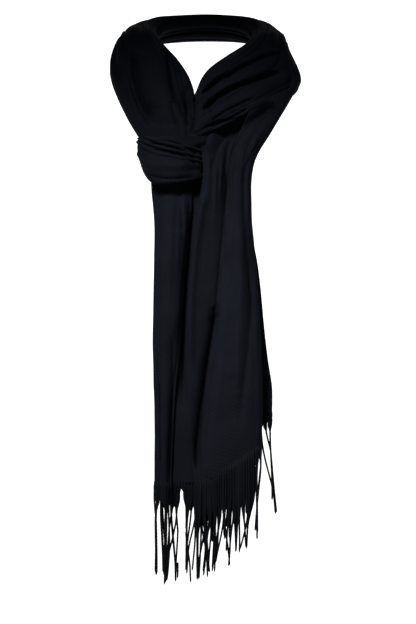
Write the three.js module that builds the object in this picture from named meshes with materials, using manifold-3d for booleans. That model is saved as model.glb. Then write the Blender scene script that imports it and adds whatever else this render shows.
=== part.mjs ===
import * as THREE from "three";
import { mergeVertices } from "three/addons/utils/BufferGeometryUtils.js";
import ManifoldLibrary from "manifold-3d";

// A pashmina shawl worn round the neck and tied once in front, in millimetres.
// Front is -Y and up is +Z. The origin is the centre of the neck that holds the shawl.

// Driving sizes
const clothThickness = 2;
const loopSeamGap = 0.6;
const hemGap = 0.6;
const tuckDepth = 6;
const tuckShare = 0.14;
const fringeStripHeight = 4;
const strandPitch = 6.8;
const strandRadius = 1.5;
const strandTipRadius = 0.9;
const strandSides = 3;
const strandSteps = 4;
const strandSway = 3.5;
const strandCurve = 2.4;
const strandSwayChange = 0.03;
const mergeDistance = 1e-4;

const clothColor = 0x17181d;
const fringeColor = 0x101114;

// A table gives each column under its name, top row first
function table(names, rows) {
  const columns = {};
  names.forEach((name, index) => {
    columns[name] = rows.map((row) => row[index]);
  });
  columns.last = rows.length - 1;
  return columns;
}

// The loop round the neck, from the knot up the left side, behind the nape and down the right side.
// Each station has its edge by the neck, its edge away from the neck and half its depth.
const loopStations = table(
  ["innerX", "innerY", "innerZ", "outerX", "outerY", "outerZ", "fullness"],
  [
    [-15, -102, -124, -72, -101, -124, 11],
    [-14, -102, -110, -82, -97, -111, 14],
    [-13, -95, -77, -98, -83, -83, 19],
    [-19, -82, -45, -112, -57, -50, 22],
    [-35, -62, -19, -116, -36, -24, 23],
    [-54, -34, 3, -110, -14, 0, 22],
    [-60, 6, 22, -103, 17, 8, 18],
    [-45, 42, 38, -78, 60, 18, 15],
    [0, 60, 45, 0, 90, 22, 14],
    [44, 42, 38, 74, 60, 17, 15],
    [58, 6, 19, 96, 17, 4, 18],
    [51, -34, 3, 100, -15, -10, 22],
    [27, -62, -15, 113, -44, -50, 23],
    [7, -85, -30, 79, -82, -73, 20],
    [-4, -99, -44, 33, -104, -95, 15],
    [-12, -109, -62, -7, -114, -114, 9],
  ],
);

// Creases along the loop: place round the section and depth, on the left and then on the right.
// The cloth stands in a soft roll between one crease and the next.
const loopCreases = table(
  ["leftAt", "leftDepth", "rightAt", "rightDepth"],
  [
    [0, 0, 0, 0],
    [0.1, 2, 0.1, 2],
    [0.235, 3, 0.22, 3],
    [0.345, 5, 0.3, 2],
    [0.397, 6, 0.39, 7],
    [0.544, 6, 0.502, 8],
    [0.604, 5, 0.61, 2],
    [0.69, 4, 0.7, 4],
    [0.81, 3, 0.81, 3],
    [0.92, 2, 0.92, 2],
    [1, 0, 1, 0],
  ],
);
const rollPlaces = [0, 0.13, 0.36, 0.64, 0.87];
const creaseSharpness = 5;
const sectionOverlap = 1.04;

// Half depth of the section where its creases have their full depth
const fullSection = 23;

// Behind the nape, over these stations, the left creases pass into the right ones
const napeStart = 6.5;
const napeStations = 3;

// Where one stretch of the loop ends and the next starts, in stations
const leftShoulder = 5.6;
const rightShoulder = 10.4;

// The turn across the knot, from under the right tail round the left side to behind the knot
const bandStations = table(
  ["x", "y", "top", "bottom"],
  [
    [4, -103, -131, -158],
    [-12, -117.5, -119.5, -166],
    [-38, -129, -115, -170],
    [-66, -122, -115, -170],
    [-78, -107, -116, -152],
    [-73, -90, -116, -150],
    [-50, -85, -117, -158],
    [-14, -85, -117, -160],
  ],
);
const bandBulge = 4;
const bandBulgePlace = 0.375;
const bandRollRadius = 3.5;
const bandFlatShare = 0.84;
const bandFlatSteps = 10;
const bandRollSteps = 4;

// Ridges across the band: place below its top edge at the left side, fall to the right, width, height
const ridgeStation = 3;
const bandRidges = table(
  ["at", "slope", "width", "height"],
  [
    [0.03, 0.16, 0.07, 2],
    [0.16, 0.17, 0.07, 2.4],
    [0.31, 0.15, 0.07, 2],
  ],
);

// The left tail, from behind the knot to its hem. Each row has the height and front depth of its left
// and right side, then the X of each fold edge in the order in which the cloth runs.
const leftTail = {
  stations: table(
    ["zLeft", "zRight", "yLeft", "yRight", "start", "left", "crease", "tuck", "end"],
    [
      [-125.6, -125.6, -111, -111, -17, -70, -28, -46, -16],
      [-150, -150, -111, -111, -12, -65, -22, -42, -10],
      [-180, -180, -113, -111, -3, -65, -18, -38, 0],
      [-215, -215, -117, -111, 0, -63, -18, -38, 2],
      [-275, -275, -118, -111, 0, -62.5, -24, -43, 2],
      [-347, -347, -118, -111, 0, -63, -30, -48, 2],
      [-430, -430, -117, -111, 0, -62, -38, -52, 2],
      [-534, -532, -116, -111, 0, -63, -41, -54, 2],
    ],
  ),
  edges: ["start", "left", "crease", "tuck", "end"],
  layers: table(
    ["depth", "swell", "steps", "rise"],
    [
      [15, 0, 4, 0],
      [0, 7, 6, 0],
      [5, 0, 2, 0],
      [10, 2, 5, 0],
    ],
  ),
};

// The right tail, from under the lower fold of the right collar to its hem
const rightTail = {
  stations: table(
    [
      "zLeft", "zRight", "yLeft", "yRight",
      "start", "left", "tuck", "crease", "right", "rearLeft", "rearRight",
    ],
    [
      [-114.4, -63.4, -128, -84, 70, -5, 58, 34, 104, 50, 92],
      [-136, -108, -135, -106, 48, -2, 48, 30, 79, 36, 68],
      [-162, -150, -136, -122, 36, -3, 44, 30, 57, 22, 50],
      [-209, -205, -132, -126, 34, -12, 42, 25, 54, 16, 50],
      [-275, -272, -129, -126, 36, -19, 36, 19, 60, 14, 62],
      [-347, -344, -128, -126, 40, -22, 30, 13, 66, 14, 70],
      [-424, -405, -127, -125, 42, -21, 20, 3, 67, 14, 76],
      [-482, -448, -126, -124, 42, -20, 12, -6, 67, 14, 79],
      [-537, -487, -126, -124, 42, -12, 12, -9, 67, 14, 79],
    ],
  ),
  edges: ["start", "left", "tuck", "crease", "right", "rearLeft", "rearRight"],
  layers: table(
    ["depth", "swell", "steps", "rise"],
    [
      [15, 0, 4, 0],
      [10, 1, 5, 0],
      [5, 0, 2, 0],
      [0, 5, 7, 0],
      [20, 0, 4, 12],
      [25, 0, 5, 41],
    ],
  ),
};

// Share of a tail's length below which the layers behind rise to their own hem
const hemRiseFrom = 0.5;

// The folds are tight under the knot and hang at their full swell from this station on
const knotSwell = 0.3;
const looseStation = 3;

// A turn wider than this radius has more steps
const wideTurn = 5;
const wideTurnSteps = 6;
const narrowTurnSteps = 4;

// Length of the fringe below each hem and how much it varies from one strand to the next
const leftFringeLength = 112;
const rightFringeLength = 102;
const fringeLengthChange = 7;
const fringeLengthPace = 2.4;

// Steps of the walls along the cloth
const alongSteps = { collar: 12, nape: 9, band: 16, leftTail: 14, rightTail: 15 };

function clamp01(value) {
  return Math.min(Math.max(value, 0), 1);
}

function ease(value) {
  const t = clamp01(value);
  return t * t * (3 - 2 * t);
}

function mix(from, to, share) {
  return from + (to - from) * share;
}

function bump(distance) {
  return Math.abs(distance) < 1 ? Math.cos(distance * Math.PI / 2) ** 2 : 0;
}

// A smooth curve through the values of one column, at a place counted in rows
function smoothValue(values, at) {
  const last = values.length - 1;
  const low = Math.min(Math.max(Math.floor(at), 0), last - 1);
  const t = at - low;
  const from = values[low];
  const to = values[low + 1];
  const before = low > 0 ? values[low - 1] : 2 * from - to;
  const after = low + 2 <= last ? values[low + 2] : 2 * to - from;
  const startSlope = (to - before) / 2;
  const endSlope = (after - from) / 2;
  const square = t * t;
  const cube = square * t;
  return (2 * cube - 3 * square + 1) * from + (cube - 2 * square + t) * startSlope
    + (3 * square - 2 * cube) * to + (cube - square) * endSlope;
}

function evenSteps(from, to, count) {
  return Array.from({ length: count + 1 }, (_, index) => mix(from, to, index / count));
}

// A closed cloth wall, half its thickness on each side of a grid of points
function clothWall(grid, thickness) {
  const acrossLast = grid.length - 1;
  const alongLast = grid[0].length - 1;
  const width = alongLast + 1;
  const sideCount = grid.length * width;
  const positions = new Float32Array(sideCount * 6);
  for (let i = 0; i <= acrossLast; i += 1) {
    for (let j = 0; j <= alongLast; j += 1) {
      const across = grid[Math.min(i + 1, acrossLast)][j].clone();
      across.sub(grid[Math.max(i - 1, 0)][j]);
      const along = grid[i][Math.min(j + 1, alongLast)].clone();
      along.sub(grid[i][Math.max(j - 1, 0)]);
      const normal = across.cross(along).normalize().multiplyScalar(thickness / 2);
      const vertex = i * width + j;
      grid[i][j].clone().add(normal).toArray(positions, vertex * 3);
      grid[i][j].clone().sub(normal).toArray(positions, (sideCount + vertex) * 3);
    }
  }
  const faces = [];
  const addQuad = (a, b, c, d) => faces.push(a, b, c, a, c, d);
  for (let i = 0; i < acrossLast; i += 1) {
    for (let j = 0; j < alongLast; j += 1) {
      const a = i * width + j;
      const b = a + width;
      addQuad(a, b, b + 1, a + 1);
      addQuad(sideCount + a, sideCount + a + 1, sideCount + b + 1, sideCount + b);
    }
  }
  for (let i = 0; i < acrossLast; i += 1) {
    const a = i * width;
    const b = a + width;
    addQuad(b, a, sideCount + a, sideCount + b);
    addQuad(a + alongLast, b + alongLast, sideCount + b + alongLast, sideCount + a + alongLast);
  }
  for (let j = 0; j < alongLast; j += 1) {
    const a = acrossLast * width + j;
    addQuad(j, j + 1, sideCount + j + 1, sideCount + j);
    addQuad(a + 1, a, sideCount + a, sideCount + a + 1);
  }
  const geometry = new THREE.BufferGeometry();
  geometry.setAttribute("position", new THREE.BufferAttribute(positions, 3));
  geometry.setIndex(faces);
  geometry.computeVertexNormals();
  return geometry;
}

function clothMaterial(color) {
  return new THREE.MeshStandardMaterial({ color, roughness: 0.85, metalness: 0 });
}

function namedMesh(name, geometry, color) {
  const mesh = new THREE.Mesh(geometry, clothMaterial(color));
  mesh.name = name;
  return mesh;
}

function loopEdge(side, at) {
  return new THREE.Vector3(
    smoothValue(loopStations[`${side}X`], at),
    smoothValue(loopStations[`${side}Y`], at),
    smoothValue(loopStations[`${side}Z`], at),
  );
}

function loopCentre(at) {
  return loopEdge("inner", at).add(loopEdge("outer", at)).multiplyScalar(0.5);
}

// Centre, half width and half depth of the loop's section at one station
function loopSection(at) {
  const centre = loopCentre(at);
  const across = loopEdge("outer", at).sub(centre);
  const step = 0.02;
  const ahead = Math.min(at + step, loopStations.last);
  const behind = Math.max(at - step, 0);
  const along = loopCentre(ahead).sub(loopCentre(behind));
  const fullness = smoothValue(loopStations.fullness, at);
  const outward = along.cross(across).normalize().multiplyScalar(fullness);
  return { centre, across, outward };
}

// Place and depth of one crease at a station of the loop
function loopCrease(crease, at) {
  const rightShare = ease((at - napeStart) / napeStations);
  return {
    turn: mix(loopCreases.leftAt[crease], loopCreases.rightAt[crease], rightShare),
    depth: mix(loopCreases.leftDepth[crease], loopCreases.rightDepth[crease], rightShare),
  };
}

// A point of the loop. A whole roll number is on a crease; the first crease is the selvedge tucked
// behind the section and the last is the other selvedge.
function loopPoint(roll, at) {
  const { centre, across, outward } = loopSection(at);
  const fullShare = Math.sqrt(outward.length() / fullSection);
  const crease = Math.min(Math.floor(roll), loopCreases.last - 1);
  const share = roll - crease;
  const before = loopCrease(crease, at);
  const after = loopCrease(crease + 1, at);
  const turn = mix(before.turn, after.turn, share);
  const sunk = before.depth * (1 - share) ** creaseSharpness + after.depth * share ** creaseSharpness;
  const angle = -Math.PI / 2 - turn * sectionOverlap * 2 * Math.PI;
  const sideways = Math.cos(angle);
  const forward = Math.sin(angle);
  const point = centre.clone();
  point.addScaledVector(across, sideways);
  point.addScaledVector(outward, forward);
  const facing = across.clone().normalize().multiplyScalar(sideways * outward.length());
  facing.addScaledVector(outward.clone().normalize(), forward * across.length()).normalize();
  const tucked = tuckDepth * (1 - ease(turn / tuckShare));
  return point.addScaledVector(facing, -sunk * fullShare - tucked);
}

function loopStretch(name, from, to, stationSteps) {
  const rolls = [];
  for (let crease = 0; crease < loopCreases.last; crease += 1) {
    rollPlaces.forEach((share) => rolls.push(crease + share));
  }
  rolls.push(loopCreases.last);
  const stations = evenSteps(from, to, stationSteps);
  const grid = rolls.map((roll) => stations.map((at) => loopPoint(roll, at)));
  return namedMesh(name, clothWall(grid, clothThickness), clothColor);
}

// A seam gap counted in stations of the loop
function loopSeam(at) {
  const step = 0.1;
  const length = loopCentre(at + step).distanceTo(loopCentre(at - step));
  return loopSeamGap * 2 * step / length;
}

// A point of the band: share runs down from its top edge to its rolled lower edge
function bandPoint(share, at) {
  const step = 0.05;
  const planPoint = (place) => new THREE.Vector3(
    smoothValue(bandStations.x, place),
    smoothValue(bandStations.y, place),
    0,
  );
  const here = planPoint(at);
  const along = planPoint(Math.min(at + step, bandStations.last));
  along.sub(planPoint(Math.max(at - step, 0))).normalize();
  const outward = new THREE.Vector3(along.y, -along.x, 0).negate();
  const top = smoothValue(bandStations.top, at);
  const bottom = smoothValue(bandStations.bottom, at);
  const flat = clamp01(share / bandFlatShare);
  const rolled = Math.max((share - bandFlatShare) / (1 - bandFlatShare), 0) * Math.PI;
  let out = bandBulge * (1 - ((flat - bandBulgePlace) / (1 - bandBulgePlace)) ** 2);
  for (let ridge = 0; ridge <= bandRidges.last; ridge += 1) {
    const place = bandRidges.at[ridge] + bandRidges.slope[ridge] * (ridgeStation - at);
    out += bandRidges.height[ridge] * bump((flat - place) / bandRidges.width[ridge]);
  }
  out -= bandRollRadius * (1 - Math.cos(rolled));
  here.addScaledVector(outward, out);
  here.z = mix(top, bottom + bandRollRadius, flat) - bandRollRadius * Math.sin(rolled);
  return here;
}

function knotBand() {
  const stations = evenSteps(0, bandStations.last, alongSteps.band);
  const flatShares = evenSteps(0, bandFlatShare, bandFlatSteps);
  const shares = [...flatShares, ...evenSteps(bandFlatShare, 1, bandRollSteps).slice(1)];
  const grid = stations.map((at) => shares.map((share) => bandPoint(share, at)));
  return namedMesh("knot_band", clothWall(grid, clothThickness), clothColor);
}

// The folded section of a tail at one station: points across its layers and round its turns.
// below is how far under the hem the points lie.
function tailSection(tail, at, below) {
  const { stations, edges, layers } = tail;
  const value = (column) => smoothValue(stations[column], at);
  const edgeX = edges.map(value);
  const leftX = value("left");
  const rightX = Math.max(...edgeX);
  const hemShare = ease((at / stations.last - hemRiseFrom) / (1 - hemRiseFrom));
  const looseness = mix(knotSwell, 1, ease(at / looseStation));
  const points = [];
  const addPoint = (x, depth, rise) => {
    const share = clamp01((x - leftX) / (rightX - leftX));
    const y = mix(value("yLeft"), value("yRight"), share) + depth;
    const z = mix(value("zLeft"), value("zRight"), share) + rise * hemShare - below;
    points.push(new THREE.Vector3(x, y, z));
  };
  for (let layer = 0; layer <= layers.last; layer += 1) {
    const forward = Math.sign(edgeX[layer + 1] - edgeX[layer]);
    const depth = layers.depth[layer];
    const nextDepth = layers.depth[layer + 1] ?? depth;
    const previousDepth = layers.depth[layer - 1] ?? depth;
    const turnRadius = Math.abs(nextDepth - depth) / 2;
    const from = edgeX[layer] + forward * Math.abs(previousDepth - depth) / 2;
    const to = edgeX[layer + 1] - forward * turnRadius;
    const rise = layers.rise[layer];
    const nextRise = layers.rise[layer + 1] ?? rise;
    const previousRise = layers.rise[layer - 1] ?? rise;
    const firstRise = (previousRise + rise) / 2;
    const lastRise = (nextRise + rise) / 2;
    const steps = layers.steps[layer];
    for (let step = 0; step <= steps; step += 1) {
      const share = step / steps;
      const swell = layers.swell[layer] * looseness * Math.sin(share * Math.PI);
      const across = (share + (1 - Math.cos(share * Math.PI)) / 2) / 2;
      addPoint(mix(from, to, across), depth - swell, mix(firstRise, lastRise, share));
    }
    if (layer < layers.last) {
      const turnSteps = turnRadius > wideTurn ? wideTurnSteps : narrowTurnSteps;
      for (let step = 1; step < turnSteps; step += 1) {
        const angle = step / turnSteps * Math.PI;
        const x = to + forward * turnRadius * Math.sin(angle);
        const turned = mix(depth, nextDepth, (1 - Math.cos(angle)) / 2);
        addPoint(x, turned, lastRise);
      }
    }
  }
  return points;
}

function tailCloth(name, tail, stationSteps) {
  const stations = evenSteps(0, tail.stations.last, stationSteps);
  const sections = stations.map((at) => tailSection(tail, at, 0));
  return namedMesh(name, clothWall(sections, clothThickness), clothColor);
}

// One twisted strand hanging from a root, narrower at its tip
function strandGeometry(root, length, index) {
  const geometry = new THREE.CylinderGeometry(
    strandRadius,
    strandTipRadius,
    length,
    strandSides,
    strandSteps,
  );
  geometry.rotateX(Math.PI / 2);
  geometry.translate(0, 0, -length / 2);
  const position = geometry.getAttribute("position");
  for (let vertex = 0; vertex < position.count; vertex += 1) {
    const drop = -position.getZ(vertex) / length;
    const sway = strandSway * drop * Math.sin(strandCurve * drop + root.x * strandSwayChange);
    position.setXYZ(
      vertex,
      position.getX(vertex) + root.x + sway,
      position.getY(vertex) + root.y,
      position.getZ(vertex) + root.z,
    );
  }
  geometry.name = `strand ${index}`;
  return geometry;
}

function toManifold(library, geometry) {
  const bare = geometry.clone();
  bare.deleteAttribute("normal");
  bare.deleteAttribute("uv");
  const merged = mergeVertices(bare, mergeDistance);
  return new library.Manifold(new library.Mesh({
    numProp: 3,
    vertProperties: new Float32Array(merged.getAttribute("position").array),
    triVerts: new Uint32Array(merged.getIndex().array),
  }));
}

function fromManifold(solid) {
  const mesh = solid.getMesh();
  const geometry = new THREE.BufferGeometry();
  geometry.setAttribute("position", new THREE.BufferAttribute(mesh.vertProperties, 3));
  geometry.setIndex(new THREE.BufferAttribute(mesh.triVerts, 1));
  geometry.computeVertexNormals();
  return geometry;
}

// Places a fixed distance apart along a row of points
function evenPlaces(points, pitch) {
  const curve = new THREE.CurvePath();
  for (let index = 1; index < points.length; index += 1) {
    curve.add(new THREE.LineCurve3(points[index - 1], points[index]));
  }
  const count = Math.floor(curve.getLength() / pitch);
  return evenSteps(0.5 / count, 1 - 0.5 / count, count - 1).map((share) => curve.getPoint(share));
}

// The fringe under a tail: a narrow strip along the hem with strands that hang from it
function fringe(library, name, tail, length) {
  const hem = tail.stations.last;
  const rows = [hemGap, hemGap + fringeStripHeight].map((below) => tailSection(tail, hem, below));
  const middle = tailSection(tail, hem, hemGap + fringeStripHeight / 2);
  let solid = toManifold(library, clothWall(rows, clothThickness));
  evenPlaces(middle, strandPitch).forEach((root, index) => {
    const change = fringeLengthChange * Math.sin(index * fringeLengthPace);
    solid = solid.add(toManifold(library, strandGeometry(root, length + change, index)));
  });
  return namedMesh(name, fromManifold(solid), fringeColor);
}

function buildShawl(library) {
  const shawl = new THREE.Group();
  shawl.name = "pashmina_shawl";
  const leftSeam = loopSeam(leftShoulder);
  const rightSeam = loopSeam(rightShoulder);
  const napeFrom = leftShoulder + leftSeam;
  const napeTo = rightShoulder - rightSeam;
  shawl.add(loopStretch("collar_left", 0, leftShoulder, alongSteps.collar));
  shawl.add(loopStretch("neck_back", napeFrom, napeTo, alongSteps.nape));
  shawl.add(loopStretch("collar_right", rightShoulder, loopStations.last, alongSteps.collar));
  shawl.add(knotBand());
  shawl.add(tailCloth("tail_left", leftTail, alongSteps.leftTail));
  shawl.add(tailCloth("tail_right", rightTail, alongSteps.rightTail));
  shawl.add(fringe(library, "fringe_left", leftTail, leftFringeLength));
  shawl.add(fringe(library, "fringe_right", rightTail, rightFringeLength));
  return shawl;
}

const library = await ManifoldLibrary();
library.setup();

export default buildShawl(library);
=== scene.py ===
import bpy
import numpy as np
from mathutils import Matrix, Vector


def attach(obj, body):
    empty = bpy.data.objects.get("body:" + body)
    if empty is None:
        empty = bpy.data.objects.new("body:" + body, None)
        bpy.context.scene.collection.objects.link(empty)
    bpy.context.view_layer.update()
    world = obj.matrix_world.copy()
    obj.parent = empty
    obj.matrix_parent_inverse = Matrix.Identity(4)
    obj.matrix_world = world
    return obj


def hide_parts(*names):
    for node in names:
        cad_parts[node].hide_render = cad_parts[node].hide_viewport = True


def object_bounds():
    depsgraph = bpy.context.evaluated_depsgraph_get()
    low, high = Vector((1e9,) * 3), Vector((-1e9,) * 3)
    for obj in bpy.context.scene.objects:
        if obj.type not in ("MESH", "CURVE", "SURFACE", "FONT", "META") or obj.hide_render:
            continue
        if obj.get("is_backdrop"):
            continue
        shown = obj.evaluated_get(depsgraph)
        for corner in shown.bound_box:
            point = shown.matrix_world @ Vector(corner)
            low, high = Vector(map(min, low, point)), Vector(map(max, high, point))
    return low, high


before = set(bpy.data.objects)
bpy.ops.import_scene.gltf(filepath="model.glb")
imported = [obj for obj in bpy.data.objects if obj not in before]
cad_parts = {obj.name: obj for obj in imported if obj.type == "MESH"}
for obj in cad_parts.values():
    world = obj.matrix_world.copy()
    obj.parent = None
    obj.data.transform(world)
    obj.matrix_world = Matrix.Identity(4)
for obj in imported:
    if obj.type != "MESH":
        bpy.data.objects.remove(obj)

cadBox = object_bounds()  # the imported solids' box, before anything is dressed
mm = 0.001

# photo view: straight on, from far enough that the nape stays above the neck opening
view = {
    "distance": 3.6,  # from the front of the knot
    "frontY": -0.115,
    "centreX": 0.0024,
    "centreZ": -0.325,
    "pixel": 1.2 * mm,  # one photo pixel at the front of the knot
    "imageHeight": 624,
    "sensor": 36.0,
}


def setCamera():
    camera = bpy.data.objects.new("photoCamera", bpy.data.cameras.new("photoCamera"))
    bpy.context.scene.collection.objects.link(camera)
    camera.location = (view["centreX"], view["frontY"] - view["distance"], view["centreZ"])
    camera.rotation_euler = (np.pi / 2, 0, 0)
    shown = view["pixel"] * view["imageHeight"]
    camera.data.sensor_width = view["sensor"]
    camera.data.lens = view["sensor"] * view["distance"] / shown
    bpy.context.scene.camera = camera


def smoothColumn(rows, column, at):
    # smooth curve through one column of a table, at places counted in rows
    values = np.array([row[column] for row in rows], float)
    last = len(values) - 1
    low = np.clip(np.floor(at).astype(int), 0, last - 1)
    t = np.clip(at - low, 0, 1)
    padded = np.concatenate([[2 * values[0] - values[1]], values, [2 * values[-1] - values[-2]]])
    before, start, end, after = (padded[low + k] for k in range(4))
    startSlope = (end - before) / 2
    endSlope = (after - start) / 2
    smooth = (
        (2 * t**3 - 3 * t**2 + 1) * start
        + (t**3 - 2 * t**2 + t) * startSlope
        + (3 * t**2 - 2 * t**3) * end
        + (t**3 - t**2) * endSlope
    )
    # beyond the table the curve runs on straight
    firstStep, lastStep = values[1] - values[0], values[-1] - values[-2]
    return smooth + np.minimum(at, 0) * firstStep + np.maximum(at - last, 0) * lastStep


def tableColumns(piece, at):
    names = piece["columns"].split()
    return {name: smoothColumn(piece["stations"], k, at) for k, name in enumerate(names)}


def ease(value):
    t = np.clip(value, 0, 1)
    return t * t * (3 - 2 * t)


def bump(distance):
    return np.where(np.abs(distance) < 1, np.cos(np.clip(distance, -1, 1) * np.pi / 2) ** 2, 0)


def unit(vectors):
    return vectors / np.maximum(np.linalg.norm(vectors, axis=-1, keepdims=True), 1e-9)


def softNoise(u, v, seed, waves=9):
    # smooth uneven swell between -1 and 1, one cycle about every unit of u and v
    rng = np.random.RandomState(seed)
    total = np.zeros(np.broadcast(u, v).shape)
    for _ in range(waves):
        turn, phase, pace = rng.uniform(0, 2 * np.pi), rng.uniform(0, 2 * np.pi), rng.uniform(0.5, 1.5)
        total += np.sin(2 * np.pi * pace * (u * np.cos(turn) + v * np.sin(turn)) + phase)
    return total / (waves * 0.7)


lineSteps = 36  # points along a pressed line
lineFade = 0.15  # share of a line over which it starts and ends


def pressLines(points, lines, strength=1.0):
    # presses troughs (or raises ridges, where the depth is negative) along lines seen from the front;
    # each row has the depth, the reach on the left and right of the line, then its x and z
    pushed = np.zeros(points.shape[:2])
    for depth, leftReach, rightReach, *line in lines:
        along = np.linspace(0, len(line) - 1, lineSteps)
        path = np.stack([smoothColumn(line, k, along) for k in (0, 1)], axis=-1)
        tangent = unit(np.gradient(path, axis=0))
        offset = points[:, :, None, ::2] - path
        nearest = np.argmin((offset**2).sum(axis=-1), axis=-1)
        gap = np.take_along_axis(offset, nearest[..., None, None], axis=2)[:, :, 0]
        side = tangent[nearest][..., 0] * gap[..., 1] - tangent[nearest][..., 1] * gap[..., 0]
        reach = np.where(side > 0, np.exp(-((side / leftReach) ** 2)), np.exp(-np.abs(side) / rightReach))
        share = nearest / (lineSteps - 1)
        pushed += depth * reach * ease(share / lineFade) * ease((1 - share) / lineFade)
    moved = points.copy()
    moved[..., 1] += pushed * strength
    return moved


def gridNormals(points):
    across = np.gradient(points, axis=0)
    along = np.gradient(points, axis=1)
    return unit(np.cross(across, along))


def clothPlaces(points):
    # where each point lies on the flat cloth, in metres: across its width and along its length
    across = np.linalg.norm(np.diff(points, axis=0), axis=2).mean(axis=1)
    along = np.linalg.norm(np.diff(points, axis=1), axis=2).mean(axis=0)
    u = np.concatenate([[0], np.cumsum(across)]) * mm
    v = np.concatenate([[0], np.cumsum(along)]) * mm
    return np.meshgrid(u, v, indexing="ij")


def clothPiece(name, points, places, material, thickness=0.9):
    # a thin shell over a grid of points in millimetres
    acrossCount, alongCount = points.shape[:2]
    index = np.arange(acrossCount * alongCount).reshape(acrossCount, alongCount)
    corners = [index[:-1, :-1], index[1:, :-1], index[1:, 1:], index[:-1, 1:]]
    quads = np.stack(corners, axis=-1).reshape(-1, 4)
    mesh = bpy.data.meshes.new(name)
    mesh.vertices.add(points.size // 3)
    mesh.vertices.foreach_set("co", (points * mm).ravel())
    mesh.loops.add(quads.size)
    mesh.loops.foreach_set("vertex_index", quads.ravel())
    mesh.polygons.add(len(quads))
    mesh.polygons.foreach_set("loop_start", np.arange(len(quads)) * 4)
    mesh.polygons.foreach_set("use_smooth", np.ones(len(quads), bool))
    mesh.update(calc_edges=True)
    layer = mesh.uv_layers.new(name="clothMap")
    uv = np.stack([place.ravel()[quads.ravel()] for place in places], axis=-1)
    layer.uv.foreach_set("vector", uv.astype(np.float32).ravel())
    mesh.materials.append(material)
    piece = bpy.data.objects.new(name, mesh)
    bpy.context.scene.collection.objects.link(piece)
    shell = piece.modifiers.new("thickness", "SOLIDIFY")
    shell.thickness = thickness * mm
    shell.offset = 0
    return piece


def linearColor(hexCode):
    parts = [int(hexCode[k : k + 2], 16) / 255 for k in (1, 3, 5)]
    return tuple(c / 12.92 if c <= 0.04045 else ((c + 0.055) / 1.055) ** 2.4 for c in parts) + (1.0,)


def addNode(tree, kind, settings=None, links=None):
    node = tree.nodes.new(kind)
    for name, value in (settings or {}).items():
        if isinstance(name, int) or name in node.inputs:
            node.inputs[name].default_value = value
        else:
            setattr(node, name, value)
    for name, source in (links or {}).items():
        tree.links.new(source, node.inputs[name])
    return node


def newMaterial(name):
    material = bpy.data.materials.new(name)
    material.use_nodes = True
    material.node_tree.nodes.clear()
    return material, material.node_tree


# brushed cashmere and silk in a fine diamond twill: very dark, matt, with a faint cool bloom of nap
twill = {
    "dark": "#0D0F14",
    "light": "#181B21",
    "deep": "#0A0B10",  # where the nap lies thick
    "diamond": 4.2 * mm,  # width and height of two woven diamonds
    "diamondHeight": 4.8 * mm,
    "line": 1.0 * mm,  # one twill line, as coarse as it needs to show
    "lineShare": 0.5,  # height of a twill line beside a diamond's
    "fibre": 1.111 * mm,  # tufts of nap, as coarse as they need to show
    "fibreShare": 2.0,
    "patch": 35.7 * mm,  # brushed patches
    "leastShown": 0.1,  # share of the weave that shows through the thickest nap
    "deepShare": 0.45,
    "reliefDepth": 0.3 * mm,
    "relief": 0.35,
    "roughness": 0.9,
    "ior": 1.46,
    "specular": 0.03,
    "sheen": 0.015,
    "sheenRoughness": 0.4,
    "sheenTint": "#A6AEC4",
}


def wave(tree, source, period):
    # cosine of one flat coordinate, one cycle in each period
    phase = addNode(tree, "ShaderNodeMath", {"operation": "MULTIPLY", 1: 2 * np.pi / period}, {0: source})
    return addNode(tree, "ShaderNodeMath", {"operation": "COSINE"}, {0: phase.outputs[0]}).outputs[0]


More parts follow.
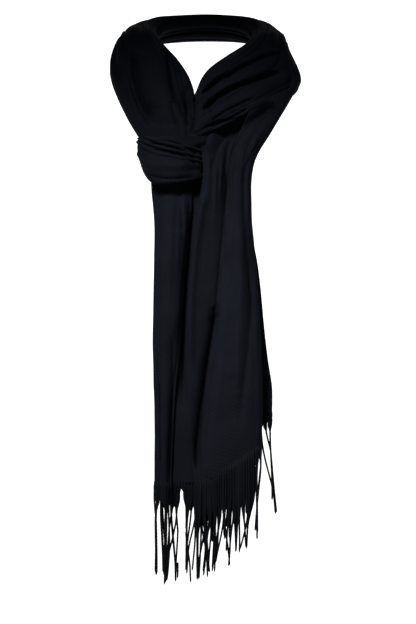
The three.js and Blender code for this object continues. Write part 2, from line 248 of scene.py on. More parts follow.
def wovenTwill():
    material, tree = newMaterial("brushedCashmereTwill")
    place = addNode(tree, "ShaderNodeUVMap", {"uv_map": "clothMap"})
    parts = addNode(tree, "ShaderNodeSeparateXYZ", links={0: place.outputs[0]})
    u, v = parts.outputs[0], parts.outputs[1]
    lattice = addNode(
        tree,
        "ShaderNodeMath",
        {"operation": "MULTIPLY"},
        {0: wave(tree, u, twill["diamond"]), 1: wave(tree, v, twill["diamondHeight"])},
    )
    turned = addNode(tree, "ShaderNodeMath", {"operation": "PINGPONG", 1: twill["diamond"] / 2}, {0: u})
    diagonal = addNode(tree, "ShaderNodeMath", {"operation": "ADD"}, {0: turned.outputs[0], 1: v})
    line = wave(tree, diagonal.outputs[0], twill["line"])
    where = {"Vector": place.outputs[0]}
    fibre = addNode(tree, "ShaderNodeTexNoise", {"Scale": 1 / twill["fibre"], "Detail": 3.0}, where)
    patches = addNode(tree, "ShaderNodeTexNoise", {"Scale": 1 / twill["patch"], "Detail": 3.0}, where)
    # the nap hides the weave more in some places than in others
    shown = addNode(
        tree,
        "ShaderNodeMapRange",
        {"From Min": 0.35, "From Max": 0.65, "To Min": twill["leastShown"], "To Max": 1.0},
        {"Value": patches.outputs[0]},
    )
    napped = addNode(
        tree, "ShaderNodeMath", {"operation": "MULTIPLY"}, {0: lattice.outputs[0], 1: shown.outputs[0]}
    )
    latticeShare = addNode(
        tree, "ShaderNodeMapRange", {"From Min": -1.0, "From Max": 1.0}, {"Value": napped.outputs[0]}
    )
    twillColor = addNode(
        tree,
        "ShaderNodeMix",
        {"data_type": "RGBA", 6: linearColor(twill["dark"]), 7: linearColor(twill["light"])},
        {0: latticeShare.outputs[0]},
    )
    patchShare = addNode(
        tree,
        "ShaderNodeMapRange",
        {"From Min": 0.4, "From Max": 0.75, "To Max": twill["deepShare"]},
        {"Value": patches.outputs[0]},
    )
    cloth = addNode(
        tree,
        "ShaderNodeMix",
        {"data_type": "RGBA", 7: linearColor(twill["deep"])},
        {0: patchShare.outputs[0], 6: twillColor.outputs[2]},
    )
    threads = addNode(
        tree,
        "ShaderNodeMath",
        {"operation": "MULTIPLY_ADD", 1: twill["lineShare"]},
        {0: line, 2: lattice.outputs[0]},
    )
    relief = addNode(
        tree,
        "ShaderNodeMath",
        {"operation": "MULTIPLY_ADD", 1: twill["fibreShare"]},
        {0: fibre.outputs[0], 2: threads.outputs[0]},
    )
    weave = addNode(
        tree,
        "ShaderNodeBump",
        {"Strength": twill["relief"], "Distance": twill["reliefDepth"]},
        {"Height": relief.outputs[0]},
    )
    shader = addNode(
        tree,
        "ShaderNodeBsdfPrincipled",
        {
            "Roughness": twill["roughness"],
            "IOR": twill["ior"],
            "Specular IOR Level": twill["specular"],
            "Sheen Weight": twill["sheen"],
            "Sheen Roughness": twill["sheenRoughness"],
            "Sheen Tint": linearColor(twill["sheenTint"]),
        },
        {"Base Color": cloth.outputs[2], "Normal": weave.outputs[0]},
    )
    addNode(tree, "ShaderNodeOutputMaterial", links={0: shader.outputs[0]})
    return material


# two-ply warp yarn rolled tight by hand: a little darker than the cloth, with a small gloss on each turn
yarnFinish = {
    "dark": "#050609",
    "light": "#0C0E14",
    "fibre": 0.714 * mm,  # strands in the yarn, as coarse as they need to show
    "reliefDepth": 0.25 * mm,
    "relief": 0.4,
    "roughness": 0.75,
    "ior": 1.46,
    "specular": 0.1,
    "sheen": 0.015,
    "sheenRoughness": 0.5,
    "sheenTint": "#A6AEC4",
}


def twistedYarn():
    material, tree = newMaterial("rolledFringeYarn")
    place = addNode(tree, "ShaderNodeTexCoord")
    fibre = addNode(
        tree,
        "ShaderNodeTexNoise",
        {"Scale": 1 / yarnFinish["fibre"], "Detail": 2.0},
        {"Vector": place.outputs["Object"]},
    )
    yarnColor = addNode(
        tree,
        "ShaderNodeMix",
        {"data_type": "RGBA", 6: linearColor(yarnFinish["dark"]), 7: linearColor(yarnFinish["light"])},
        {0: fibre.outputs[0]},
    )
    fuzz = addNode(
        tree,
        "ShaderNodeBump",
        {"Strength": yarnFinish["relief"], "Distance": yarnFinish["reliefDepth"]},
        {"Height": fibre.outputs[0]},
    )
    shader = addNode(
        tree,
        "ShaderNodeBsdfPrincipled",
        {
            "Roughness": yarnFinish["roughness"],
            "IOR": yarnFinish["ior"],
            "Specular IOR Level": yarnFinish["specular"],
            "Sheen Weight": yarnFinish["sheen"],
            "Sheen Roughness": yarnFinish["sheenRoughness"],
            "Sheen Tint": linearColor(yarnFinish["sheenTint"]),
        },
        {"Base Color": yarnColor.outputs[2], "Normal": fuzz.outputs[0]},
    )
    addNode(tree, "ShaderNodeOutputMaterial", links={0: shader.outputs[0]})
    return material


def studioPaper():
    # white background paper, lit so brightly that it shows no shade
    material, tree = newMaterial("brightStudioPaper")
    shader = addNode(
        tree,
        "ShaderNodeBsdfPrincipled",
        {
            "Base Color": linearColor("#F4F4F4"),
            "Roughness": 0.95,
            "Emission Color": linearColor("#FFFFFF"),
            "Emission Strength": studio["paperGlow"],
        },
    )
    addNode(tree, "ShaderNodeOutputMaterial", links={0: shader.outputs[0]})
    return material


loop = {
    "columns": "innerX innerY innerZ outerX outerY outerZ fullness",
    "stations": [
        [-15, -102, -124, -72, -101, -124, 11],
        [-14, -102, -110, -82, -97, -111, 14],
        [-13, -95, -77, -98, -83, -83, 19],
        [-19, -82, -45, -112, -57, -50, 22],
        [-35, -62, -19, -116, -36, -24, 23],
        [-54, -34, 3, -110, -14, 0, 22],
        [-60, 6, 22, -103, 17, 8, 18],
        [-45, 42, 38, -78, 60, 18, 15],
        [0, 60, 45, 0, 90, 22, 14],
        [44, 42, 38, 74, 60, 17, 15],
        [58, 6, 19, 96, 17, 4, 18],
        [51, -34, 3, 100, -15, -10, 22],
        [27, -62, -15, 113, -44, -50, 23],
        [7, -85, -30, 79, -82, -73, 20],
        [-4, -99, -44, 33, -104, -95, 15],
        [-12, -109, -62, -7, -114, -114, 9],
    ],
    # creases between the rolls: place round the section, depth and how far the roll before laps over
    # it, on the left and then on the right
    "creases": [
        [0.0, 0.0, 0.0, 0.0, 0.0, 0.0],
        [0.10, 2.0, 0.0, 0.10, 2.0, 0.0],
        [0.235, 3.5, 0.018, 0.22, 3.0, 0.012],
        [0.345, 5.5, 0.022, 0.30, 3.0, 0.014],
        [0.397, 6.5, 0.020, 0.39, 8.0, 0.030],
        [0.544, 7.0, 0.028, 0.502, 9.0, 0.034],
        [0.604, 5.5, 0.020, 0.61, 3.0, 0.014],
        [0.69, 4.0, 0.014, 0.70, 4.5, 0.020],
        [0.81, 3.0, 0.010, 0.81, 3.0, 0.010],
        [0.92, 2.0, 0.0, 0.92, 2.0, 0.0],
        [1.0, 0.0, 0.0, 1.0, 0.0, 0.0],
    ],
    "creaseReach": 0.13,  # half the lap, in rolls
    "creaseEdge": 1.4,  # how sharply a crease drops
    "creaseFade": 0.35,  # how soon the next roll rises again
    "wander": 0.03,
    "depthChange": 0.3,
    "rollHeight": 2.0,
    "fullSection": 23,  # fullness at which the rolls have their whole height
    "napeStart": 6.5,  # station where the rolls turn into those of the right side
    "napeStations": 3,
    # in front the creases are placed one by one, so those between the rolls are held back
    "frontEnds": (5.5, 10.5),
    "frontFade": 1.5,
    "heldBack": 0.7,
    # creases seen from the front, placed one by one: depth, reach on each side, then x and z
    "frontLines": [
        [5, 7, 3, [-103, -19], [-99, -50], [-89, -75], [-77, -96]],
        [12, 12, 3, [-89, -6], [-87, -42], [-79, -71], [-66, -99]],
        [3, 2, 4, [-70, -71], [-66, -86], [-55, -102]],
        [3, 2, 4, [-64, -74], [-60, -87], [-48, -102]],
        [2.5, 2, 4, [-55, -75], [-52, -88], [-41, -103]],
        [12, 12, 3, [-50, 3], [-47, -19], [-43, -42], [-39, -60], [-31, -79], [-23, -97]],
        [6, 5, 2.5, [-38, -27], [-33, -50], [-26, -76], [-22, -105]],
        [6, 5, 2, [-24, -50], [-20, -75], [-17, -106]],
        [4, 3, 1.5, [-14, -68], [-13, -87], [-13, -109]],
        [10, 3, 13, [-8, -69], [6, -54], [28, -40], [48, -27], [69, -15], [97, -8]],
        [12, 3, 14, [-4, -86], [8, -71], [25, -59], [46, -49], [70, -39], [99, -31]],
        [4, 2, 6, [5, -97], [22, -85], [41, -75], [60, -66]],
        [4, 1.5, 2, [6, -105], [21, -96], [37, -88], [52, -79]],
        [-4, 2, 3, [7, -109], [22, -100], [38, -92], [53, -83]],
        [6, 4, 9, [98, -19], [103, -40], [96, -63], [84, -80]],
        [3, 2, 5, [24, -45], [36, -32], [51, -19]],
        # sharp bottoms of the main creases
        [5, 1.4, 2, [-7, -64], [13, -45], [34, -33], [56, -22], [74, -12], [98, -9]],
        [7, 1.4, 2, [-5, -84], [13, -66], [33, -55], [57, -44], [94, -34]],
        [6, 1.4, 2, [-4, -106], [14, -97], [37, -92], [57, -83], [78, -75], [100, -55]],
        [4, 1.4, 2.5, [-98, -24], [-91, -55], [-80, -83], [-66, -102]],
        [8, 2.5, 1.6, [-88, -10], [-85, -46], [-75, -78], [-59, -102]],
        [5, 4, 1.5, [-94, -38], [-88, -62], [-79, -84], [-66, -103]],
        [8, 2.5, 1.6, [-50, -10], [-44, -40], [-39, -66], [-27, -86]],
        [6, 2, 1.4, [-42, -70], [-38, -86], [-34, -104]],
        [6, 2, 1.4, [-27, -56], [-24, -76], [-20, -104]],
        [3, 1.3, 2, [-64, -96], [-58, -80], [-58, -66]],
    ],
    "pressedTurns": (0.18, 0.84),  # the part of the section that faces the front
    "pressedFade": 0.08,
    "rollSteps": 28,
    "rollPacking": 0.85,
    "fineFolds": 26,
    "fineHeight": 1.6,
    "finePlaces": (0.18, 0.82),
    "fineWidths": (0.008, 0.02),
    "fineReach": (1.5, 4),
    "fineSlant": 0.012,
    "tuckDepth": 6.0,
    "tuckShare": 0.14,
    "overlap": 1.04,
    "swell": 0.7,
    "swellSize": (0.03, 0.07),  # across and along the cloth, in metres
    "seed": 4,
}
stretches = {
    # node: first and last station, rows of points along it
    "collar_left": (0.0, 5.6, 132),
    "neck_back": (5.6, 10.4, 84),
    "collar_right": (10.4, 15.25, 132),
}


def loopFrame(at):
    values = tableColumns(loop, at)
    inner = np.stack([values["innerX"], values["innerY"], values["innerZ"]], axis=-1)
    outer = np.stack([values["outerX"], values["outerY"], values["outerZ"]], axis=-1)
    return (inner + outer) / 2, (outer - inner) / 2, values["fullness"]


def rollPlaces():
    # points across the rolls, closer together beside each crease
    share = np.linspace(0, 1, loop["rollSteps"], endpoint=False)
    packed = share - loop["rollPacking"] * np.sin(2 * np.pi * share) / (2 * np.pi)
    rolls = len(loop["creases"]) - 1
    return np.concatenate([number + packed for number in range(rolls)] + [[rolls]])[:, None]


lapPeak = 2.33  # brings the greatest shift of a lap to its stated size


def loopCreases(roll, place):
    # place round the section and depth below its round, with each roll lapped over the next
    rightShare = ease((place - loop["napeStart"]) / loop["napeStations"])
    table = np.array(loop["creases"])
    rolls = len(table) - 1
    low = np.clip(np.floor(roll).astype(int), 0, rolls - 1)
    share = roll - low
    width = len(table[0]) // 2
    sides = [np.stack([table[:, k], table[:, k + width]], axis=-1) for k in range(width)]

    def value(side, crease):
        return side[crease][..., 0] + (side[crease][..., 1] - side[crease][..., 0]) * rightShare

    turn = value(sides[0], low) * (1 - share) + value(sides[0], low + 1) * share
    depth = -loop["rollHeight"] * np.sin(share * np.pi) * np.ones_like(place)
    leftEnd, rightEnd = loop["frontEnds"]
    front = ease((leftEnd - place) / loop["frontFade"]) + ease((place - rightEnd) / loop["frontFade"])
    quiet = 1 - loop["heldBack"] * front
    for crease in range(1, rolls):
        # each crease wanders and deepens at its own pace
        wander = loop["wander"] * np.sin(1.1 * place + 2.3 * crease)
        strength = (1 + loop["depthChange"] * np.sin(0.8 * place + 1.9 * crease)) * quiet
        away = (roll - crease - wander) / loop["creaseReach"]
        lap = value(sides[2], np.full_like(low, crease)) * strength
        sink = value(sides[1], np.full_like(low, crease)) * strength
        turn = turn - lap * lapPeak * away * np.exp(-(away**2))
        drop = 0.5 * (1 + np.tanh(loop["creaseEdge"] * away))
        depth += sink * drop * np.exp(-loop["creaseFade"] * np.clip(away, 0, None))
    return turn, depth


def loopGrid(at):
    step = 0.02
    last = len(loop["stations"]) - 1
    centre, across, fullness = loopFrame(at)
    along = loopFrame(at + step)[0] - loopFrame(at - step)[0]
    outward = unit(np.cross(along, across)) * fullness[:, None]
    place = at[None, :]
    turn, depth = loopCreases(rollPlaces(), place)
    height = -depth
    rng = np.random.RandomState(loop["seed"])
    for _ in range(loop["fineFolds"]):
        at0, width = rng.uniform(*loop["finePlaces"]), rng.uniform(*loop["fineWidths"])
        middle, reach = rng.uniform(0, last), rng.uniform(*loop["fineReach"])
        slant = rng.uniform(-loop["fineSlant"], loop["fineSlant"])
        rise = rng.uniform(0.4, 1) * loop["fineHeight"]
        strength = bump((turn - at0 - slant * (place - middle)) / width) * bump((place - middle) / reach)
        height = height + rise * (strength - 0.5 * bump((place - middle) / reach) * (strength > 0))
    angle = -np.pi / 2 - turn * loop["overlap"] * 2 * np.pi
    sideways, forward = np.cos(angle)[..., None], np.sin(angle)[..., None]
    points = centre[None] + across[None] * sideways + outward[None] * forward
    acrossLength = np.linalg.norm(across, axis=1)[None, :, None]
    half = fullness[None, :, None]
    facing = unit(unit(across)[None] * sideways * half + unit(outward)[None] * forward * acrossLength)
    tucked = loop["tuckDepth"] * (1 - ease(turn / loop["tuckShare"]))
    height = height * np.sqrt(fullness / loop["fullSection"])[None, :] - tucked
    points = points + facing * height[..., None]
    first, final = loop["pressedTurns"]
    facingFront = ease((turn - first) / loop["pressedFade"]) * ease((final - turn) / loop["pressedFade"])
    points = pressLines(points, loop["frontLines"], facingFront)
    u, v = clothPlaces(points)
    wide, long = loop["swellSize"]
    swell = softNoise(u / wide, v / long, loop["seed"]) * loop["swell"]
    return points + gridNormals(points) * swell[..., None]


def makeLoop(cloth):
    for node, (first, last, rows) in stretches.items():
        points = loopGrid(np.linspace(first, last, rows))
        piece = clothPiece(node.replace("_", "") + "Cloth", points, clothPlaces(points), cloth)
        yield node, piece, points


band = {
    "columns": "x y top bottom",
    "stations": [
        [4, -103, -122, -158],
        [-12, -117.5, -114, -166],
        [-38, -129, -115, -170],
        [-66, -122, -115, -170],
        [-78, -107, -116, -152],
        [-73, -90, -116, -150],
        [-50, -85, -117, -158],
        [-14, -85, -117, -160],
    ],
    # ridges: place below the top edge at the left side, fall towards the right end, width, height
    "ridges": [
        [0.03, 0.16, 0.060, 2.6],
        [0.16, 0.17, 0.055, 3.0],
        [0.31, 0.15, 0.060, 2.4],
        [0.66, 0.03, 0.14, 1.2],
    ],
    "frontLines": [
        [6, 3, 9, [-7, -122], [-3, -140], [-5, -162]],
        [4, 1.5, 3, [-64, -119], [-40, -123], [-22, -129], [-9, -140]],
        [5, 1.5, 3, [-73, -122], [-48, -127], [-24, -135], [-8, -149]],
        [4, 1.5, 3.5, [-68, -130], [-44, -134], [-20, -142], [-7, -158]],
        [2.5, 3, 1.5, [-74, -160], [-55, -165.5], [-35, -166.5], [-10, -163]],
        [2, 2, 5, [-70, -126], [-46, -133], [-22, -143], [-8, -158]],
    ],
    "pressedTo": 5,  # station where the front creases have run out
    "ridgeStation": 3,
    "ridgeEnd": 6.5,
    "ridgeFade": 2,
    "bulge": 4.0,
    "bulgePlace": 0.375,
    "rollRadius": 3.5,
    "flatShare": 0.84,
    "alongSteps": 200,
    "downSteps": 96,
    "swell": 0.5,
    "swellSize": (0.05, 0.02),
    "seed": 9,
}


def bandGrid():
    last = len(band["stations"]) - 1
    at = np.linspace(0, last, band["alongSteps"])
    share = np.linspace(0, 1, band["downSteps"])[None, :]
    values = tableColumns(band, at)
    plan = np.stack([values["x"], values["y"]], axis=-1)
    along = unit(np.gradient(plan, axis=0))
    outward = np.stack([-along[:, 1], along[:, 0]], axis=-1)[:, None, :]
    flat = np.clip(share / band["flatShare"], 0, 1)
    rolled = np.clip((share - band["flatShare"]) / (1 - band["flatShare"]), 0, 1) * np.pi
    fromBulge = (flat - band["bulgePlace"]) / (1 - band["bulgePlace"])
    out = band["bulge"] * (1 - fromBulge**2) * np.ones((len(at), 1))
    for place, fall, width, rise in band["ridges"]:
        spot = place + fall * (band["ridgeStation"] - at[:, None])
        fade = ease((band["ridgeEnd"] - at[:, None]) / band["ridgeFade"])
        out = out + rise * bump((flat - spot) / width) * fade
    out = out - band["rollRadius"] * (1 - np.cos(rolled))
    flatPlan = plan[:, None, :] + outward * out[..., None]
    top, bottom = values["top"][:, None], values["bottom"][:, None]
    z = top + (bottom + band["rollRadius"] - top) * flat - band["rollRadius"] * np.sin(rolled)
    points = np.concatenate([flatPlan, z[..., None]], axis=-1)
    points = pressLines(points, band["frontLines"], ease(band["pressedTo"] - at[:, None]))
    u, v = clothPlaces(points)
    wide, long = band["swellSize"]
    swell = softNoise(u / wide, v / long, band["seed"]) * band["swell"]
    return points + gridNormals(points) * swell[..., None]


leftTail = {
    "columns": "zLeft zRight yLeft yRight start left crease tuck end",
    "stations": [
        [-125.6, -125.6, -111, -111, -17, -70, -28, -46, -16],
        [-150, -150, -111, -111, -12, -65, -22, -42, -8],
        [-180, -180, -113, -111, -2, -65, -18, -38, 3],
        [-215, -215, -117, -111, 0, -63, -18, -38, 2],
        [-275, -275, -118, -111, 0, -62.5, -24, -43, 2],
        [-347, -347, -118, -111, 0, -63, -30, -48, 2],
        [-430, -430, -117, -111, 0, -62, -38, -52, 2],
        [-534, -532, -116, -111, 0, -63, -41, -54, 2],
    ],
    "edges": ["start", "left", "crease", "tuck", "end"],
    # depth behind the front, swell, points across, rise of the hem
    "layers": [[15, 0, 44, 0], [0, 7, 74, 0], [5, 0, 12, 0], [10, 2, 50, 0]],
    # layer, x and z at the top, x and z at the bottom, width, height
    "ripples": [
        [1, -40, -165, -47, -330, 9, 2.2],
        [1, -56, -170, -55, -420, 6, 1.2],
        [1, -30, -165, -36, -300, 5, 1.4],
        [3, -12, -190, -10, -480, 7, 1.5],
        [0, -45, -170, -48, -500, 9, -2.0],
        [0, -24, -170, -22, -420, 8, -2.2],
    ],
    "frontLines": [
        [7, 3, 5, [-17, -197], [-21, -251], [-25, -311], [-27, -371], [-28, -455]],
        [5, 4, 8, [-40, -347], [-41, -419], [-43, -491], [-44, -531]],
        [14, 8, 13, [-76, -172], [-40, -177], [2, -174]],
        [4, 3, 8, [-29, -169], [-31, -197], [-28, -233]],
        [-4, 4, 14, [-27, -181], [-26, -221], [-30, -287], [-35, -359]],
        [3, 4, 7, [-55, -171], [-55, -209], [-58, -263]],
        [3, 3, 8, [-58, -371], [-54, -443], [-55, -514]],
        [-4, 8, 8, [-12, -185], [-12, -300], [-15, -420], [-20, -500]],
    ],
    "valleyLines": [],
    "valleyLayers": 0,
    "turnSteps": 12,
    "alongSteps": 170,
    "firstStation": 0.0,
    "seed": 21,
    "fringeLength": 112,
    "packedTo": [-556, -570],  # loose yarns hang packed down to here, at packedPlaces
    "parting": [-29, 5],  # where the fringe parts at the hem, and how far
}
rightTail = {
    "columns": "zLeft zRight yLeft yRight start left tuck crease right rearLeft rearRight",
    "stations": [
        [-114.4, -63.4, -128, -84, 70, -9, 64, 50, 104, 50, 92],
        [-136, -108, -135, -106, 48, -4, 51, 35, 79, 36, 68],
        [-162, -150, -136, -122, 36, -3, 44, 29, 57, 22, 50],
        [-209, -205, -132, -126, 34, -12, 42, 25, 54, 16, 50],
        [-275, -272, -129, -126, 36, -19, 36, 19, 60, 14, 62],
        [-347, -344, -128, -126, 40, -22, 30, 13, 66, 14, 70],
        [-424, -405, -127, -125, 42, -21, 20, 3, 67, 14, 76],
        [-482, -448, -126, -124, 42, -20, 12, -6, 67, 14, 79],
        [-537, -487, -126, -124, 42, -12, 12, -9, 67, 14, 79],
    ],
    "edges": ["start", "left", "tuck", "crease", "right", "rearLeft", "rearRight"],
    "layers": [
        [15, 0, 28, 0], [10, 1, 54, 0], [5, 0, 10, 0], [0, 5, 76, 0], [20, 0, 28, 12], [25, 0, 40, 41],
    ],
    "ripples": [
        [1, 4, -120, 2, -215, 4, 1.8],
        [1, 13, -115, 10, -230, 4, 2.2],
        [1, 22, -112, 14, -215, 4, 2.0],
        [3, 46, -110, 40, -300, 8, 2.0],
        [3, 66, -90, 48, -180, 7, 2.2],
        [3, 52, -250, 42, -430, 12, 1.6],
        [3, 24, -300, 10, -470, 9, 1.5],
        [5, 30, -160, 34, -400, 9, -2.2],
        [5, 50, -200, 58, -430, 8, -2.0],
        [0, 8, -150, 4, -480, 8, -2.0],
        [4, 40, -150, 40, -400, 8, -1.5],
    ],
    "frontLines": [
        [11, 8, 13, [6, -108], [30, -107], [52, -98], [70, -86], [84, -72]],
        [6, 4, 5, [-3, -118], [-4, -150], [-7, -190]],
        [4, 2, 5, [10, -104], [2, -115], [1, -127], [7, -141]],
        [4, 3, 7, [29, -107], [20, -119], [12, -134], [12, -163]],
        [4, 3, 7, [41, -103], [28, -121], [24, -143], [24, -179]],
        [6, 3, 9, [58, -94], [41, -116], [32, -141], [30, -179], [27, -222]],
        [4, 4, 10, [82, -76], [60, -107], [47, -136], [42, -179], [45, -239]],
        [-3, 8, 8, [53, -131], [48, -179], [43, -263], [38, -358], [36, -454]],
        [3, 5, 12, [55, -239], [53, -311], [48, -382], [38, -466]],
        [3, 4, 8, [19, -347], [10, -406], [2, -466], [-2, -514]],
        [-4, 5, 3, [0, -175], [-8, -215], [-15, -270], [-19, -330], [-18, -400]],
    ],
    # the valley beside the broad front fold, pressed into the cloth that lies under it
    "valleyLines": [
        [5, 3, 4, [27, -150], [22, -210], [16, -270], [11, -330]],
        [14, 9, 5, [12, -310], [7, -350], [0, -395], [-6, -440], [-11, -490], [-12, -530]],
    ],
    "valleyLayers": 3,
    "turnSteps": 9,
    "alongSteps": 168,
    "firstStation": -0.35,
    "seed": 33,
    "fringeLength": 107,
    "packedTo": [-596, -580],
    "parting": [],
}


# how both ends hang
hang = {
    "hemRiseFrom": 0.5,  # share of the length below which the layers' hems part
    "knotSwell": 0.3,  # share of the swell that is left in the knot
    "looseStation": 3,
    "wobble": 1.0,
    "wobblePace": 1.7,
    "wobbleShift": 2.3,
    "rippleTop": 40,  # length over which a ripple starts
    "rippleFoot": 60,
    # width and length in metres, then height, of uneven swells
    "swells": [[0.06, 0.16, 0.9], [0.02, 0.05, 0.25]],
}


def tailGrid(tail, at, below=0.0):
    # the cloth runs from fold edge to fold edge, with a round turn at each
    values = tableColumns(tail, at)
    lastStation = len(tail["stations"]) - 1
    edges = [values[name] for name in tail["edges"]]
    for k, edge in enumerate(edges):
        wobble = np.sin(hang["wobblePace"] * at + hang["wobbleShift"] * k)
        edges[k] = edge + hang["wobble"] * wobble * ease(at / 1.5)
    left, right = edges[1], np.maximum.reduce(edges)
    hemShare = ease((at / lastStation - hang["hemRiseFrom"]) / (1 - hang["hemRiseFrom"]))
    looseness = hang["knotSwell"] + (1 - hang["knotSwell"]) * ease(at / hang["looseStation"])
    layers = tail["layers"]
    rows, layerOfRow = [], []

    def addPoints(x, depth, rise, layer, inside):
        share = np.clip((x - left) / (right - left), 0, 1)
        z = values["zLeft"] + (values["zRight"] - values["zLeft"]) * share + rise * hemShare - below
        y = values["yLeft"] + (values["yRight"] - values["yLeft"]) * share + depth
        for rippleLayer, xTop, zTop, xBottom, zBottom, width, height in tail["ripples"]:
            if rippleLayer == layer:
                along = (zTop - z) / (zTop - zBottom)
                spot = xTop + (xBottom - xTop) * along
                fade = ease((zTop - z) / hang["rippleTop"]) * ease((z - zBottom) / hang["rippleFoot"])
                y = y - height * bump((x - spot) / width) * fade * inside
        rows.append(np.stack([x, y, z], axis=-1))
        layerOfRow.append(layer)

    for k, (depth, swell, steps, rise) in enumerate(layers):
        forward = np.sign(edges[k + 1][-1] - edges[k][-1])
        nextDepth, nextRise = (layers[k + 1][0], layers[k + 1][3]) if k + 1 < len(layers) else (depth, rise)
        lastDepth, lastRise = (layers[k - 1][0], layers[k - 1][3]) if k else (depth, rise)
        radius = abs(nextDepth - depth) / 2
        start = edges[k] + forward * abs(lastDepth - depth) / 2
        end = edges[k + 1] - forward * radius
        riseFrom, riseTo = (lastRise + rise) / 2, (nextRise + rise) / 2
        for share in np.linspace(0, 1, steps + 1):
            across = (share + (1 - np.cos(share * np.pi)) / 2) / 2
            inside = np.sin(share * np.pi) ** 0.5 if 0 < share < 1 else 0
            out = depth - swell * looseness * np.sin(share * np.pi)
            addPoints(start + (end - start) * across, out, riseFrom + (riseTo - riseFrom) * share, k, inside)
        if k + 1 < len(layers):
            for angle in np.linspace(0, np.pi, tail["turnSteps"] + 1)[1:-1]:
                turned = depth + (nextDepth - depth) * (1 - np.cos(angle)) / 2
                addPoints(end + forward * radius * np.sin(angle), turned, riseTo, k, 0)
    return np.stack(rows), np.array(layerOfRow)


def tailCloth(tail):
    at = np.linspace(tail["firstStation"], len(tail["stations"]) - 1, tail["alongSteps"])
    points, layerOfRow = tailGrid(tail, at)
    points = pressLines(points, tail["frontLines"])
    points = pressLines(points, tail["valleyLines"], (layerOfRow < tail["valleyLayers"])[:, None])
    u, v = clothPlaces(points)
    swell = np.zeros_like(u)
    for number, (wide, long, height) in enumerate(hang["swells"]):
        swell += softNoise(u / wide, v / long, tail["seed"] + number) * height
    return points + gridNormals(points) * swell[..., None]


fringe = {
    "pitch": 6.8,  # between rolled cords along the hem, mm
    "yarns": 4,  # loose yarn ends gathered into each cord
    "radius": 1.2,
    "tipRadius": 1.1,
    "yarnRadius": 1.15,
    "yarnRoot": 0.6,  # share of its radius that a yarn has where it leaves the hem
    "stagger": 1.3,  # how far one yarn lies before the next
    "packedChange": 12.0,
    "separate": 14.0,  # where the hem hangs clear, the yarns are rolled after this
    "clear": 0.8,  # share of a cord that would be packed where the hem hangs clear
    "packedPlaces": (-60, 65),
    "looseShare": 0.6,
    "gather": (0.2, 0.35),  # share of its length in which a cord swings to its bunch
    "crossing": (0.6, 0.9),  # the same where it crosses to another
    "join": 0.45,  # where along it a yarn starts to close on its cord
    "thinning": 0.4,
    "cordRings": 60,
    "yarnRings": 16,
    "cordSides": 8,
    "yarnSides": 6,
    "drift": 2.5,
    "mostLean": 0.1,
    "ply": 0.06,  # how far the two plies stand out
    "twist": 6.5,  # one full turn, mm
    "lengthChange": 9.0,
    "bunch": (5.2, 8.0),  # least and greatest distance between the bunches that cords hang in
    "lean": 0.08,  # sideways drift of a bunch for each mm it hangs
    "free": 0.5,  # share of cords that cross over to another bunch
    "spread": 0.5,
    "sway": 0.8,
    "hold": 2.5,  # how far up in the hem the yarns start
    "fray": 4.0,  # how far above that some of them show
    "seed": 12,
}


def hangBunches(roots, rng):
    # place and lean of each bunch, from left to right
    last = roots[:, 0].max() - 1
    places = [roots[:, 0].min() + 2]
    while places[-1] < last:
        places.append(min(places[-1] + rng.uniform(*fringe["bunch"]), last))
    lean = rng.normal(0, fringe["lean"], len(places))
    lean = np.clip(lean, -fringe["mostLean"], fringe["mostLean"])
    # the outermost cords hang straight down
    lean[0] = lean[-1] = 0
    return np.stack([places, lean], axis=-1)


def cordPath(root, length, packed, bunches, parting, rng):
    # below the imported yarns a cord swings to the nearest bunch, or slants across to one beside it
    s = np.linspace(0, 1, fringe["cordRings"])
    nearest = np.argmin(np.abs(bunches[:, 0] - root[0]))
    loose = fringe["looseShare"] * packed / length
    gather = loose + rng.uniform(*fringe["gather"])
    if rng.uniform() < fringe["free"]:
        nearest = np.clip(nearest + rng.choice([-1, 1]), 0, len(bunches) - 1)
        gather = loose + rng.uniform(*fringe["crossing"])
    place, lean = bunches[nearest]
    line = place + lean * length * np.clip(s - loose, 0, 1) + rng.normal(0, fringe["spread"])
    x = root[0] + (line - root[0]) * ease((s - loose) / (gather - loose))
    x += fringe["sway"] * np.sin(rng.uniform(2, 6) * s + rng.uniform(0, 6)) * s
    if parting:
        away = x - parting[0]
        x += np.sign(away) * parting[1] * np.exp(-np.abs(away) / parting[1]) * ease(s / 0.1)
    y = root[1] + rng.normal(0, fringe["drift"]) * s
    return np.stack([x, y, root[2] - length * s], axis=-1)


def tubeGrid(path, radius, ply, twist, sides):
    # rings of points round a path that hangs down, with plies wound together
    run = np.concatenate([[0], np.cumsum(np.linalg.norm(np.diff(path, axis=0), axis=1))])
    angle = np.linspace(0, 2 * np.pi, sides, endpoint=False)
    lobe = 1 + ply * np.cos(2 * (angle[None, :] - 2 * np.pi * run[:, None] / twist))
    ringX = radius[:, None] * lobe * np.cos(angle)[None, :]
    ringY = radius[:, None] * lobe * np.sin(angle)[None, :]
    return path[:, None, :] + np.stack([ringX, ringY, np.zeros_like(ringX)], axis=-1)


def hemPoint(hemLine, at):
    run = np.concatenate([[0], np.cumsum(np.linalg.norm(np.diff(hemLine, axis=0), axis=1))])
    return np.array([np.interp(at, run, hemLine[:, k]) for k in range(3)])


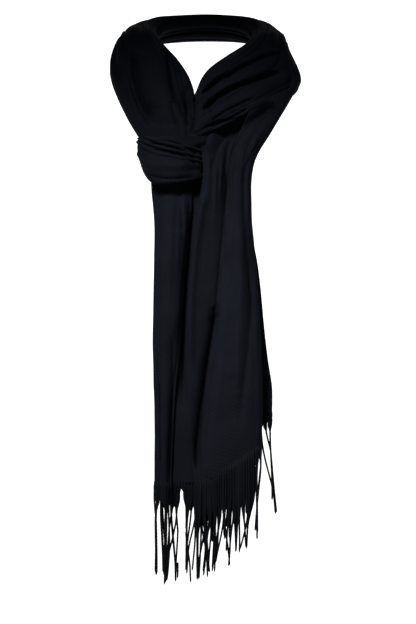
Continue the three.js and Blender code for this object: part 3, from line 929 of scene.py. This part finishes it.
def cordTubes(hemLine, at, length, packedTo, bunches, parting, rng):
    # one rolled cord, and the loose yarns that run from the hem into it
    root = hemPoint(hemLine, at)
    packed = root[2] - np.interp(root[0], fringe["packedPlaces"], packedTo)
    if packed > length * fringe["clear"]:
        packed = fringe["separate"]
    path = cordPath(root, length, packed, bunches, parting, rng)
    s = np.linspace(0, 1, len(path))
    radius = fringe["radius"] + (fringe["tipRadius"] - fringe["radius"]) * s
    # the tip is rounded
    radius = radius * np.sqrt(np.clip((1 - s) * 40, 0.02, 1))
    yield tubeGrid(path, radius, fringe["ply"], fringe["twist"], fringe["cordSides"])
    for yarn in range(fringe["yarns"]):
        yarnAt = at + ((yarn + 0.5) / fringe["yarns"] - 0.5) * fringe["pitch"]
        start = hemPoint(hemLine, yarnAt)
        drop = min((packed + rng.uniform(-0.5, 1) * fringe["packedChange"]) / length, 0.9)
        places = np.linspace(0, drop, fringe["yarnRings"])
        joined = np.stack([np.interp(places, s, path[:, k]) for k in range(3)], axis=-1)
        share = ease((places / drop - fringe["join"]) / (1 - fringe["join"]))[:, None]
        loose = joined + (start - root) * (1 - share)
        loose[0, 2] += fringe["hold"] + rng.uniform(0, fringe["fray"])
        grown = ease(places / drop / 0.06)
        loose[:, 1] += fringe["stagger"] * np.sin(1.9 * yarnAt) * grown * (1 - share[:, 0])
        thickness = fringe["yarnRadius"] * (1 - fringe["thinning"] * share[:, 0])
        thickness = thickness * (fringe["yarnRoot"] + (1 - fringe["yarnRoot"]) * grown)
        yield tubeGrid(loose, thickness, 0.1, 2 * fringe["twist"], fringe["yarnSides"])


def fringePiece(name, tail, material):
    rng = np.random.RandomState(fringe["seed"] + tail["seed"])
    hemLine = tailGrid(tail, np.array([len(tail["stations"]) - 1.0]), below=-0.5)[0][:, 0, :]
    hemLength = np.linalg.norm(np.diff(hemLine, axis=0), axis=1).sum()
    count = int(hemLength / fringe["pitch"])
    bunches = hangBunches(hemLine, rng)
    vertices, faces, first = [], [], 0
    for cord in range(count):
        length = tail["fringeLength"] + rng.uniform(-1, 1) * fringe["lengthChange"]
        at = (cord + 0.5) * hemLength / count
        for grid in cordTubes(hemLine, at, length, tail["packedTo"], bunches, tail["parting"], rng):
            rings, sides = grid.shape[:2]
            vertices.append(grid.reshape(-1, 3))
            for ring in range(rings - 1):
                for side in range(sides):
                    a = first + ring * sides + side
                    b = first + ring * sides + (side + 1) % sides
                    faces.append((a, b, b + sides, a + sides))
            faces.append(tuple(first + side for side in reversed(range(sides))))
            faces.append(tuple(first + (rings - 1) * sides + side for side in range(sides)))
            first += rings * sides
    mesh = bpy.data.meshes.new(name)
    mesh.from_pydata((np.concatenate(vertices) * mm).tolist(), [], faces)
    mesh.polygons.foreach_set("use_smooth", np.ones(len(mesh.polygons), bool))
    mesh.materials.append(material)
    piece = bpy.data.objects.new(name, mesh)
    bpy.context.scene.collection.objects.link(piece)
    return piece


studio = {
    "floorZ": -1.35,  # the ground under a standing wearer
    "halfWidth": 7.0,
    "front": -0.25,
    "back": 7.0,
    "height": 7.0,
    "sweep": 1.2,
    "world": 0.05,
    "paperGlow": 0.97,
}


def makeBackdrop(paper):
    # floor and wall in one sheet of paper, with a round sweep between them
    profile = [(studio["front"], studio["floorZ"])]
    for angle in np.linspace(-np.pi / 2, 0, 13):
        profile.append(
            (
                studio["back"] + studio["sweep"] * (np.cos(angle) - 1),
                studio["floorZ"] + studio["sweep"] * (1 + np.sin(angle)),
            )
        )
    profile.append((studio["back"], studio["floorZ"] + studio["height"]))
    vertices = [(x, y, z) for y, z in profile for x in (-studio["halfWidth"], studio["halfWidth"])]
    faces = [(2 * k, 2 * k + 1, 2 * k + 3, 2 * k + 2) for k in range(len(profile) - 1)]
    mesh = bpy.data.meshes.new("paperBackdrop")
    mesh.from_pydata(vertices, [], faces)
    mesh.polygons.foreach_set("use_smooth", np.ones(len(faces), bool))
    mesh.materials.append(paper)
    backdrop = bpy.data.objects.new("paperBackdrop", mesh)
    bpy.context.scene.collection.objects.link(backdrop)
    backdrop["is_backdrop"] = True


lights = {
    # place, what it points at, size, watts, colour, spread in degrees
    "nearSoftbox": ((-0.3, -0.78, 0.28), (0.13, -0.1, -0.46), (0.28, 0.34), 1.3, "#FDFDFF", 42),
    "fillPanel": ((0.7, -1.6, -0.2), (0.06, -0.1, -0.31), (0.4, 0.5), 0.15, "#FAFBFF", 34),
}


def addLight(name, place, target, size, power, color, spread):
    light = bpy.data.lights.new(name, "AREA")
    light.shape = "RECTANGLE"
    light.size, light.size_y = size
    light.energy = power
    light.spread = np.radians(spread)
    light.color = linearColor(color)[:3]
    lamp = bpy.data.objects.new(name, light)
    lamp.location = place
    lamp.rotation_euler = (Vector(target) - Vector(place)).to_track_quat("-Z", "Y").to_euler()
    bpy.context.scene.collection.objects.link(lamp)


def setLights():
    world = bpy.data.worlds.new("softStudio")
    world.use_nodes = True
    world.node_tree.nodes["Background"].inputs["Color"].default_value = linearColor("#FFFFFF")
    world.node_tree.nodes["Background"].inputs["Strength"].default_value = studio["world"]
    bpy.context.scene.world = world
    for name, settings in lights.items():
        addLight(name, *settings)
    bpy.context.scene.view_settings.view_transform = "Standard"


setCamera()
setLights()
makeBackdrop(studioPaper())
cloth = wovenTwill()
yarn = twistedYarn()
print("studio ready")

pieces = {}
for node, piece, points in makeLoop(cloth):
    pieces[node] = (piece, points)
points = bandGrid()
pieces["knot_band"] = (clothPiece("knotBandCloth", points, clothPlaces(points), cloth), points)
for node, tail in (("tail_left", leftTail), ("tail_right", rightTail)):
    points = tailCloth(tail)
    pieces[node] = (clothPiece(node.replace("_", "") + "Cloth", points, clothPlaces(points), cloth), points)
print("cloth ready")

fringePieces = {
    "tail_left": fringePiece("fringeLeftYarn", leftTail, yarn),
    "tail_right": fringePiece("fringeRightYarn", rightTail, yarn),
}
print("fringe ready")

for node, (piece, points) in pieces.items():
    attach(piece, "root")
    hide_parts(node)
    u, v = clothPlaces(points)
    flat = (float(u.max()), float(v.max()))
    triangles = 4 * points.shape[0] * points.shape[1]
    print(node, "flat", [round(side, 3) for side in flat], "triangles", triangles)
for tailNode, piece in fringePieces.items():
    node = tailNode.replace("tail", "fringe")
    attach(piece, "root")
    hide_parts(node)
    print(node, "triangles", 2 * len(piece.data.polygons))

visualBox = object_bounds()
boxes = {"cad": cadBox, "visual": visualBox}
{name: [list(corner) for corner in box] for name, box in boxes.items()}
